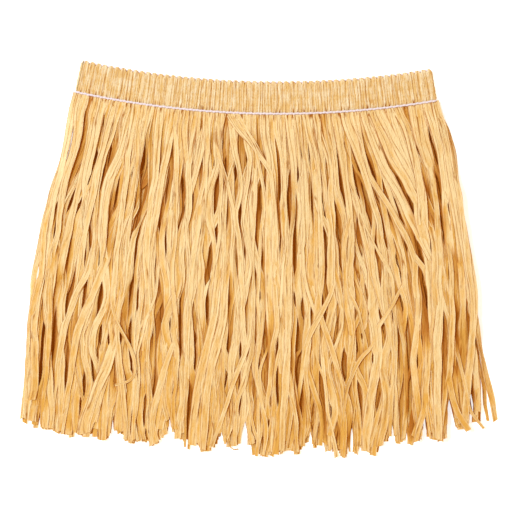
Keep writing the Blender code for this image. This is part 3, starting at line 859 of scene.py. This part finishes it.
def build_mesh(name, points, quads, uv, attributes, sharp_degrees, caps=np.empty((0, 4), int)):
    """Mesh object from arrays: quads and, if any, faces of more corners.

    It has one place on the UV map and one value of each attribute for every point.
    """
    points, uv = points.reshape(-1, 3), uv.reshape(-1, 2)
    corners = np.concatenate([quads.ravel(), caps.ravel()])
    sizes = [4] * len(quads) + [caps.shape[1]] * len(caps)
    starts = np.concatenate([[0], np.cumsum(sizes)[:-1]])
    mesh = bpy.data.meshes.new(name)
    mesh.vertices.add(len(points))
    mesh.vertices.foreach_set("co", points.astype(np.float32).ravel())
    mesh.loops.add(len(corners))
    mesh.loops.foreach_set("vertex_index", corners.astype(np.int32))
    mesh.polygons.add(len(sizes))
    mesh.polygons.foreach_set("loop_start", starts.astype(np.int32))
    layer = mesh.uv_layers.new(name="run")
    layer.data.foreach_set("uv", uv[corners].astype(np.float32).ravel())
    for key, values in attributes.items():
        attribute = mesh.attributes.new(key, "FLOAT", "POINT")
        attribute.data.foreach_set("value", values.astype(np.float32).ravel())
    mesh.update(calc_edges=True)
    mesh.validate()
    mesh.shade_smooth()
    mesh.set_sharp_from_angle(angle=math.radians(sharp_degrees))
    obj = bpy.data.objects.new(name, mesh)
    bpy.context.scene.collection.objects.link(obj)
    return obj


# ------------------------------------------------------------------------ the waistband

# Where the rows of elastic draw the band in, as shares of its height.
ELASTIC_ROWS = (0.27, 0.50, 0.73)

def band_loop(sizes, step):
    """Stations round the flattened band: share of the width, facing, and run in metres.

    The front runs from left to right facing up, the back returns facing down, and the
    wall turns through half a circle at each side fold.
    """
    inset = (BAND_HIGH.z - BAND_LOW.z) / 6 / sizes.seam_chord
    steps = int(sizes.seam_chord / step)
    fold = 12
    share = np.linspace(inset, 1 - inset, steps + 1)
    turn = np.linspace(0, 180, fold + 1)[1:-1]
    right, left = np.full(fold - 1, 1 - inset), np.full(fold - 1, inset)
    shares = np.concatenate([share, right, share[::-1], left])
    front, back = np.full(steps + 1, 90.0), np.full(steps + 1, -90.0)
    facing = np.concatenate([front, 90 - turn, back, 270 - turn])
    run = np.arange(len(shares)) * sizes.seam_chord / steps
    return shares, np.radians(facing), run


def band_surface(sizes, shares, facing, lift, height):
    """Points this far out of the band's middle surface and this high above the seam."""
    x, y = seam_point(sizes, shares + np.cos(facing) * lift / sizes.seam_chord, height)
    return np.stack([x, y, BAND_MIDDLE + np.sin(facing) * lift], axis=-1)


def pleats(rng, sizes, run, height):
    """Height of the pleats, 0 in a valley to 1 on a crest.

    They are roots of the size of a sine whose pitch drifts along the band, some deep and
    some shallow, with finer ones between them. They hardly sway as they rise.
    """
    drift = Waves(rng, 16, 1 / 0.018, 0.0).at(run, 0.0)
    sway = Waves(rng, 16, 1 / 0.016, 1 / 0.05).at(run, height)
    deep = Waves(rng, 16, 1 / 0.009, 1 / 0.09).at(run, height)
    phase = run / sizes.pleat_pitch + 0.30 * drift + 0.10 * sway
    coarse = np.abs(np.sin(math.pi * phase)) ** 0.7
    fine = np.abs(np.sin(math.pi * (1.93 * phase + 0.3 * drift)))
    mix = np.clip(0.72 + 0.22 * deep, 0.2, 1.0)
    return coarse * mix + fine * (1 - mix)


def make_waistband(sizes):
    """Closed shell: the pleated outer face, a rolled top edge and the plain inner face."""
    rng = np.random.default_rng(SEED)
    shares, facing, run = band_loop(sizes, 0.55 * MM)
    rows = 26
    climb = np.linspace(0.0, 1.0, rows)
    run, climb = run[:, None], climb[None, :]
    scallop = np.abs(np.sin(math.pi * run / sizes.scallop_pitch)) ** 0.7
    top = sizes.height + (scallop - 0.5) * 3.8 * MM
    height = -0.3 * MM + (top + 0.3 * MM) * climb
    crest = pleats(rng, sizes, run, height)
    elastic = np.zeros_like(height)
    for at in ELASTIC_ROWS:
        elastic += np.exp(-(((height - at * sizes.height) / (0.9 * MM)) ** 2))
    gathered = smoothstep(height / (3.5 * MM)) * smoothstep((sizes.height + MM - height) / (4 * MM))
    lift = 1.35 * MM + 0.75 * MM * gathered
    lift = lift + sizes.pleat_depth * crest * (0.35 + 0.65 * gathered) * (1 - 0.6 * elastic)
    roll = np.clip((climb - 0.94) / 0.06, 0, 1)
    # Painted shade: the pleat valleys and the elastic rows go into the depth attribute, which the
    # material darkens.
    valley = 2.6 * (1 - np.clip(crest, 0, 1)) * (0.4 + 0.6 * gathered) + 0.6 * elastic
    shares, facing = shares[:, None], facing[:, None]
    lift = lift * (1 - 0.55 * roll**2) * (1 - 0.14 * np.clip(-np.sin(facing), 0, 1))
    outer = band_surface(sizes, shares, facing, lift, height)
    inside = height[:, [-1, rows // 2, 0]]
    inner = band_surface(sizes, shares, facing, np.full_like(inside, 0.25 * MM), inside)
    ring = np.concatenate([outer, inner], axis=1)
    uv = np.empty((*ring.shape[:2], 2))
    uv[..., 0] = run
    uv[..., 1] = np.concatenate([height, inside], axis=1)
    tone = 0.6 * Waves(rng, 16, 1 / 0.006, 1 / 0.2).at(uv[..., 0], uv[..., 1])
    depth = np.concatenate([valley, 0 * inside], axis=1)
    quads = tube_faces(*ring.shape[:2], closed=True)[:, ::-1]
    values = {"tone": tone, "seed": 0 * tone, "depth": depth}
    return build_mesh("waistband_raffia", ring, quads, uv, values, 40.0)


def make_thread(name, sizes, thickness, height, lift, stitch):
    """A closed cord of stitches round the band: a tube that swells and sways with each."""
    shares, facing, run = (values[:, None] for values in band_loop(sizes, stitch / 8))
    around = 6
    angle = np.linspace(0, 2 * math.pi, around, endpoint=False)[None, :]
    turn = math.pi * run / stitch
    swell = 0.72 + 0.28 * np.abs(np.sin(turn)) ** 0.6
    radius = thickness / 2 * swell
    ply = angle + run / stitch * math.pi
    radius = radius * (1 + 0.10 * np.cos(2 * ply))
    out = lift * (0.6 + 0.4 * np.clip(np.sin(facing), 0, 1)) + 0.6 * radius * np.cos(angle)
    side = height + 0.2 * MM * np.sin(turn) + radius * np.sin(angle)
    points = band_surface(sizes, shares, facing, out, side)
    uv = np.stack(np.broadcast_arrays(run, angle * radius), axis=-1)
    quads = np.roll(tube_faces(len(run), around, closed=True)[:, ::-1], 1, axis=1)
    return build_mesh(name, points, quads, uv, {}, 80.0)


# ---------------------------------------------------------------------------- materials

# How high the creases of the paper and the twist of the thread stand.
PAPER_RELIEF, THREAD_RELIEF = 2.1 * MM, 0.3 * MM


def math_node(operation, swapped=False, **settings):
    """A method that adds a Math node for a value and, where it takes two, another one."""
    settings = {"operation": operation, **settings}

    def method(self, other=0.0):
        first, second = (other, self) if swapped else (self, other)
        return self.tree.add("ShaderNodeMath", settings, {0: first, 1: second})

    return method


class Value:
    """A shader socket that takes part in sums: each operation adds its Math node."""

    def __init__(self, tree, socket):
        self.tree, self.socket = tree, socket

    __add__, __radd__ = math_node("ADD"), math_node("ADD", swapped=True)
    __sub__, __rsub__ = math_node("SUBTRACT"), math_node("SUBTRACT", swapped=True)
    __mul__, __rmul__ = math_node("MULTIPLY"), math_node("MULTIPLY", swapped=True)
    __abs__, fraction = math_node("ABSOLUTE"), math_node("FRACT")
    clamped = math_node("ADD", use_clamp=True)


class Shader:
    """A material's node tree, filled by one method."""

    def __init__(self, name):
        self.material = bpy.data.materials.new(name)
        self.material.use_nodes = True
        self.nodes = self.material.node_tree.nodes
        self.links = self.material.node_tree.links
        self.surface = self.nodes["Principled BSDF"]

    def add(self, kind, settings=None, inputs=None, output=0):
        """A node of this kind with its settings, then its inputs; gives one of its outputs."""
        node = self.nodes.new(kind)
        for key, value in (settings or {}).items():
            setattr(node, key, value)
        self.feed(node, inputs or {})
        return Value(self, node.outputs[output])

    def feed(self, node, inputs):
        """Sets or links sockets, named as on the node or counted from 0; colours are opaque."""
        for key, value in inputs.items():
            socket = node.inputs[key]
            if isinstance(value, Value):
                self.links.new(value.socket, socket)
            elif socket.type == "RGBA":
                socket.default_value = (*value, 1.0)
            else:
                socket.default_value = value

    def attribute(self, name):
        return self.add("ShaderNodeAttribute", {"attribute_name": name}, output="Fac")

    def noise(self, vector, scale, detail=2.0, roughness=0.5):
        inputs = {"Vector": vector, "Scale": scale, "Detail": detail, "Roughness": roughness}
        return self.add("ShaderNodeTexNoise", {"noise_dimensions": "3D"}, inputs)

    def mix(self, factor, first, second):
        inputs = {"Factor": factor, "A": first, "B": second}
        return self.add("ShaderNodeMix", {"data_type": "RGBA"}, inputs, output="Result")

    def bump(self, strength, distance, height):
        inputs = {"Strength": strength, "Distance": distance, "Height": height}
        return self.add("ShaderNodeBump", None, inputs)


def raffia(name, colours, straw, ochre_and_painted_shade, paleness, crumpled, through_share):
    """Crinkled paper: fibres and creases that run with the ribbon, dry with a faint sheen.

    Part of the light goes through it and comes out amber. What lies deep in the heap gets painted
    shade in the shade's colour and a faint painted glow; the edges of each ribbon get a painted
    highlight and the same painted glow, and painted shadow lines run along one edge and in folds.
    """
    shader = Shader(name)
    uv = shader.add("ShaderNodeUVMap", {"uv_map": "run"})
    tone, depth, seed, rim = (shader.attribute(key) for key in ("tone", "depth", "seed", "rim"))
    across, along = (
        shader.add("ShaderNodeSeparateXYZ", inputs={0: uv}, output=axis) for axis in ("X", "Y")
    )

    def noise(across_scale, along_scale, *figures):
        """Noise drawn out by its two scales, and another one for each ribbon."""
        place = {"X": across * across_scale, "Y": along * along_scale, "Z": seed * 7.3}
        return shader.noise(shader.add("ShaderNodeCombineXYZ", inputs=place), *figures)

    fibres = noise(1.0, 0.06, 1500.0, 2.0, 0.6)
    creases = noise(1.0, 0.10, 420.0, 1.0)
    crumples = noise(1.0, 0.35, 240.0, 1.0, 0.4)
    patches = noise(0.6, 1.0, 70.0, 2.0)
    wrinkles = noise(0.8, 0.6, 800.0, 1.0)
    lines = noise(0.7, 0.06, 200.0, 2.0)

    # Tones are more even and a little darker near the seam, and darken again to the hem. The edges
    # of each ribbon are painted lighter: a painted highlight.
    near = (1 - along * 11).clamped()
    light = paleness + tone * (0.16 - near * 0.1) + (fibres - 0.5) * 0.45
    light = light + (creases - 0.5) + rim * 0.7
    rough = (patches - 0.5) * 0.9 + (crumples - 0.5) * 2.0 + (wrinkles - 0.5)
    light = light + rough * crumpled - along * along * 4.2 - near * 0.15

    # Painted shadow lines: along one edge, where a ribbon's shadow falls on its neighbour, at even
    # steps across but bent, as painted shade in folds, and as painted shade of puckers in creases
    # by the seam.
    edge = (rim * 2.6 - 1.6).clamped() * (across * 2000.0).clamped()
    edge = edge * (patches * 5.0 - 0.9).clamped() * 0.9
    fold = 1 - abs((across * 230.0 + lines * 2.6).fraction() - 0.5) * 8.5
    fold = fold.clamped() * (patches * 4.0 - 1.5 + near * 1.4).clamped()
    painted_pucker_shade = ((creases - 0.56) * 14).clamped() * (1.6 - along * 250).clamped()

    # Painted shade: deep in the heap the paper turns to the darker raffia colour and then to the
    # shade colour, and the painted shadow lines are added.
    painted_deep_shade = (depth * 0.40 - 0.62).clamped()
    painted_shade = painted_deep_shade + fold * (1.15 - crumpled * 0.5) + edge + painted_pucker_shade
    paper = shader.mix((light - (depth * 0.50 - 0.38).clamped()).clamped(), ochre_and_painted_shade, straw)
    height = fibres * 0.14 + creases * 0.42 + crumples * 0.4 + wrinkles * (near * 0.2 + 0.25)
    shader.feed(
        shader.surface,
        {
            # painted shade over the paper
            "Base Color": shader.mix(painted_shade.clamped(), paper, colours.shade),
            # painted glow where the heap is deep and along ribbon edges
            "Emission Color": shader.mix((painted_deep_shade + rim).clamped(), (0.0, 0.0, 0.0), colours.glow),
            "Emission Strength": 1.0,
            "Roughness": 0.52 + crumples * 0.16,
            "Normal": shader.bump(1.0, PAPER_RELIEF, height),
            "Specular IOR Level": 0.18,
        },
    )
    through = shader.add("ShaderNodeBsdfTranslucent", None, {"Color": colours.amber})
    surface = Value(shader, shader.surface.outputs["BSDF"])
    both = shader.add("ShaderNodeMixShader", None, {"Fac": through_share, 1: surface, 2: through})
    shader.links.new(both.socket, shader.nodes["Material Output"].inputs["Surface"])
    return shader.material


def covered_thread(colours):
    """Covered elastic: a fine twist across a matt white thread."""
    shader = Shader("covered_thread")
    twist = shader.noise(shader.add("ShaderNodeUVMap", {"uv_map": "run"}), 2600.0)
    darker = [channel * 0.86 for channel in colours.thread]
    shader.feed(
        shader.surface,
        {
            "Base Color": shader.mix(twist, darker, colours.thread),
            "Roughness": 0.7,
            "Normal": shader.bump(0.4, THREAD_RELIEF, twist),
            "Sheen Weight": 0.2,
        },
    )
    return shader.material


def floor_finish(colours):
    shader = Shader("floor")
    shader.feed(
        shader.surface,
        {
            "Base Color": colours.floor,
            "Roughness": 0.9,
            "Specular IOR Level": 0.1,
            "Emission Color": colours.floor_glow,
            "Emission Strength": 0.75,
        },
    )
    return shader.material


# ---------------------------------------------------------------------------- operators

HEAP = Heap(*CAD_BOX)
FRINGE = []

# Layers of the fringe from the surface up: how many ribbons each has, and of how many
# stations. Short is how far a ribbon ends above the hem and lean how far it strays
# sideways, on the mean, in millimetres. Loft, thick and slim are beside the fringe's own:
# slim is the narrowest ribbon. Parted layers open at the slits, all open at the notches.
Layer = namedtuple("Layer", "name node count stations short lean loft thick slim parted")
BACK_LAYERS = (
    (Layer("back_outer_fringe", "back_outer", 100, 40, 11.0, 2.5, 0.3, 0.45, 0.9, True),),
    (Layer("back_inner_fringe", "back_inner", 84, 40, 14.0, 3.0, 0.4, 0.55, 0.9, True),),
)
DRAWN_LAYER = Layer(
    "front_top_fringe", "front_outer", len(DRAWN), 58, 3.0, 0.0, 1.0, 1.1, 0.9, True
)
FRONT_LAYERS = (
    (Layer("front_inner_fringe", "front_inner", 110, 48, 14.0, 4.0, 0.6, 0.7, 0.9, False),),
    (Layer("front_middle_fringe", "front_inner", 200, 56, 12.0, 8.0, 1.0, 1.0, 0.45, True),),
    (
        Layer("front_outer_fringe", "front_outer", 210, 58, 5.5, 8.5, 1.0, 1.1, 0.4, True),
        DRAWN_LAYER,
    ),
)


def grow(rng, skirt, layer, slits):
    """The ribbons of a layer, parted, and the stations between which each lies on top."""
    fringe = skirt.skirt_fringe
    if layer is DRAWN_LAYER:
        *course, begin, end = drawn_courses(rng, skirt.skirt_waist, fringe, layer)
        width = named_column(DRAWN, "width") * 0.88 * STEP
    else:
        *course, begin, end = fan_courses(rng, skirt.skirt_waist, fringe, layer)
        width = fringe.width * rng.uniform(layer.slim, 1.45, layer.count)
    thick, loft = layer.thick * fringe.thickness, layer.loft * fringe.loft
    strands = clothe(rng, *course, width, thick, loft)
    parting = slits if layer.parted else NOTCHES
    for slit in parting:
        nudge(strands.x, strands.y, slit)
    for slit in parting:
        fold_aside(strands.x, strands.y, slit)
    return strands, begin, end


def lay_layers(context, groups, seed, slits):
    """Grows each group of layers, lays it, and puts its meshes in the place of their hanks."""
    for number, group in enumerate(groups):
        rng = np.random.default_rng(seed + number)
        grown = [grow(rng, context.scene, layer, slits) for layer in group]
        strands, *spans = zip(*grown)
        together = Strands(*(np.concatenate(values) for values in zip(*strands)))
        heights = settle(rng, HEAP, together, *(np.concatenate(values) for values in spans))
        for layer, own_strands in zip(group, strands):
            own, heights = heights[: layer.count], heights[layer.count :]
            piece = ribbon_mesh(layer.name, own_strands, own)
            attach(piece, "root")
            nodes = [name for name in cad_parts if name.startswith(layer.node + "_hank")]
            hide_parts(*nodes)
            FRINGE.append(piece)


class SKIRT_OT_back_fringe(bpy.types.Operator):
    """Lay the ribbons of the back on the surface"""

    bl_idname = "skirt.back_fringe"
    bl_label = "Back fringe"

    def execute(self, context):
        lay_layers(context, BACK_LAYERS, SEED, NOTCHES)
        return {"FINISHED"}


class SKIRT_OT_front_fringe(bpy.types.Operator):
    """Lay the ribbons of the front over the back"""

    bl_idname = "skirt.front_fringe"
    bl_label = "Front fringe"

    def execute(self, context):
        sizes, colours = context.scene.skirt_waist, context.scene.skirt_colours

        def band_slit(x, y):
            """The front starts over the band's middle and sinks to the back below it."""
            below = sizes.seam_y - sizes.seam_sag - y + 0.16 * x * x / 0.1
            return BAND_MIDDLE * (1 - smoothstep(below / 0.05))

        HEAP.lift(band_slit)
        lay_layers(context, FRONT_LAYERS, SEED + 10, (*SLITS, *NOTCHES))
        shade_by_depth(HEAP, FRINGE)
        draw_in(sizes, HEAP, FRINGE)
        finish = raffia("fringe_raffia", colours, colours.straw, colours.ochre_and_painted_shade, 0.80, 0.45, 0.08)
        for piece in FRINGE:
            piece.data.materials.append(finish)
        return {"FINISHED"}


class SKIRT_OT_waistband(bpy.types.Operator):
    """Make the pleated waistband"""

    bl_idname = "skirt.waistband"
    bl_label = "Waistband"

    def execute(self, context):
        colours = context.scene.skirt_colours
        finish = raffia("band_raffia", colours, colours.pressed, colours.band_dark_and_painted_shade, 0.63, 1.0, 0.05)
        band = make_waistband(context.scene.skirt_waist)
        band.data.materials.append(finish)
        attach(band, "root")
        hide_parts("waistband")
        return {"FINISHED"}


class SKIRT_OT_threads(bpy.types.Operator):
    """Sew the two white threads round the band"""

    bl_idname = "skirt.threads"
    bl_label = "Threads"

    def execute(self, context):
        sizes = context.scene.skirt_waist
        finish = covered_thread(context.scene.skirt_colours)
        thick, top, pitch = sizes.thread, sizes.height + 0.1 * MM, sizes.scallop_pitch
        seam = make_thread("seam_thread", sizes, thick, 0.2 * MM, 3.4 * MM, 3.6 * MM)
        edge = make_thread("edge_thread", sizes, 0.85 * thick, top, 0.3 * MM, pitch)
        for thread, node in ((seam, "seam_cord"), (edge, "edge_cord")):
            thread.data.materials.append(finish)
            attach(thread, "root")
            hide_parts(node)
        return {"FINISHED"}


class SKIRT_OT_studio(bpy.types.Operator):
    """Add the floor, the lights and the camera"""

    bl_idname = "skirt.studio"
    bl_label = "Studio"

    FLOOR_SIZE, FLOOR_DEPTH = 6.0, 0.2 * MM
    KEY_SIZE, KEY_PLACE = 1.3, (-2.30, 1.00, 4.00)
    CAMERA_X, CAMERA_Y = -0.0032, 0.0043

    def execute(self, context):
        scene = context.scene
        studio, colours = scene.skirt_studio, scene.skirt_colours
        bpy.ops.mesh.primitive_plane_add(size=self.FLOOR_SIZE)
        floor = context.object
        floor.name = "floor"
        floor.location.z = -self.FLOOR_DEPTH
        floor.data.materials.append(floor_finish(colours))

        world = bpy.data.worlds.new("studio")
        scene.world = world
        world.use_nodes = True
        background = world.node_tree.nodes["Background"]
        background.inputs["Color"].default_value = (*colours.sky, 1.0)
        background.inputs["Strength"].default_value = studio.sky

        key = bpy.data.lights.new("key", "AREA")
        key.energy, key.size, key.color = studio.key, self.KEY_SIZE, colours.key
        lamp = bpy.data.objects.new("key", key)
        lamp.location = self.KEY_PLACE
        lamp.rotation_euler = (-Vector(lamp.location)).to_track_quat("-Z", "Y").to_euler()

        camera = bpy.data.cameras.new("camera")
        camera.lens, camera.sensor_width = studio.lens, 36.0
        eye = bpy.data.objects.new("camera", camera)
        eye.location = (self.CAMERA_X, self.CAMERA_Y, studio.camera_height)
        for thing in (lamp, eye):
            scene.collection.objects.link(thing)
        scene.camera = eye
        scene.view_settings.view_transform = "Standard"
        return {"FINISHED"}


class SKIRT_PT_panel(bpy.types.Panel):
    """Buttons for the skirt's pieces"""

    bl_label = "Grass skirt"
    bl_space_type = "VIEW_3D"
    bl_region_type = "UI"
    bl_category = "Skirt"

    def draw(self, context):
        for step in STEPS:
            self.layout.operator(step.bl_idname)


STEPS = (
    SKIRT_OT_back_fringe,
    SKIRT_OT_front_fringe,
    SKIRT_OT_waistband,
    SKIRT_OT_threads,
    SKIRT_OT_studio,
)
GROUPS = {
    "skirt_waist": WaistSizes,
    "skirt_fringe": FringeSizes,
    "skirt_colours": SkirtColours,
    "skirt_studio": StudioSettings,
}


def register():
    for group in (*GROUPS.values(), *STEPS, SKIRT_PT_panel):
        bpy.utils.register_class(group)
    for name, group in GROUPS.items():
        setattr(bpy.types.Scene, name, bpy.props.PointerProperty(type=group))


def unregister():
    for name in GROUPS:
        delattr(bpy.types.Scene, name)
    for group in reversed((*GROUPS.values(), *STEPS, SKIRT_PT_panel)):
        bpy.utils.unregister_class(group)


def main():
    register()
    bpy.ops.skirt.back_fringe()
    bpy.ops.skirt.front_fringe()
    bpy.ops.skirt.waistband()
    bpy.ops.skirt.threads()
    bpy.ops.skirt.studio()


if __name__ == "__main__":
    main()
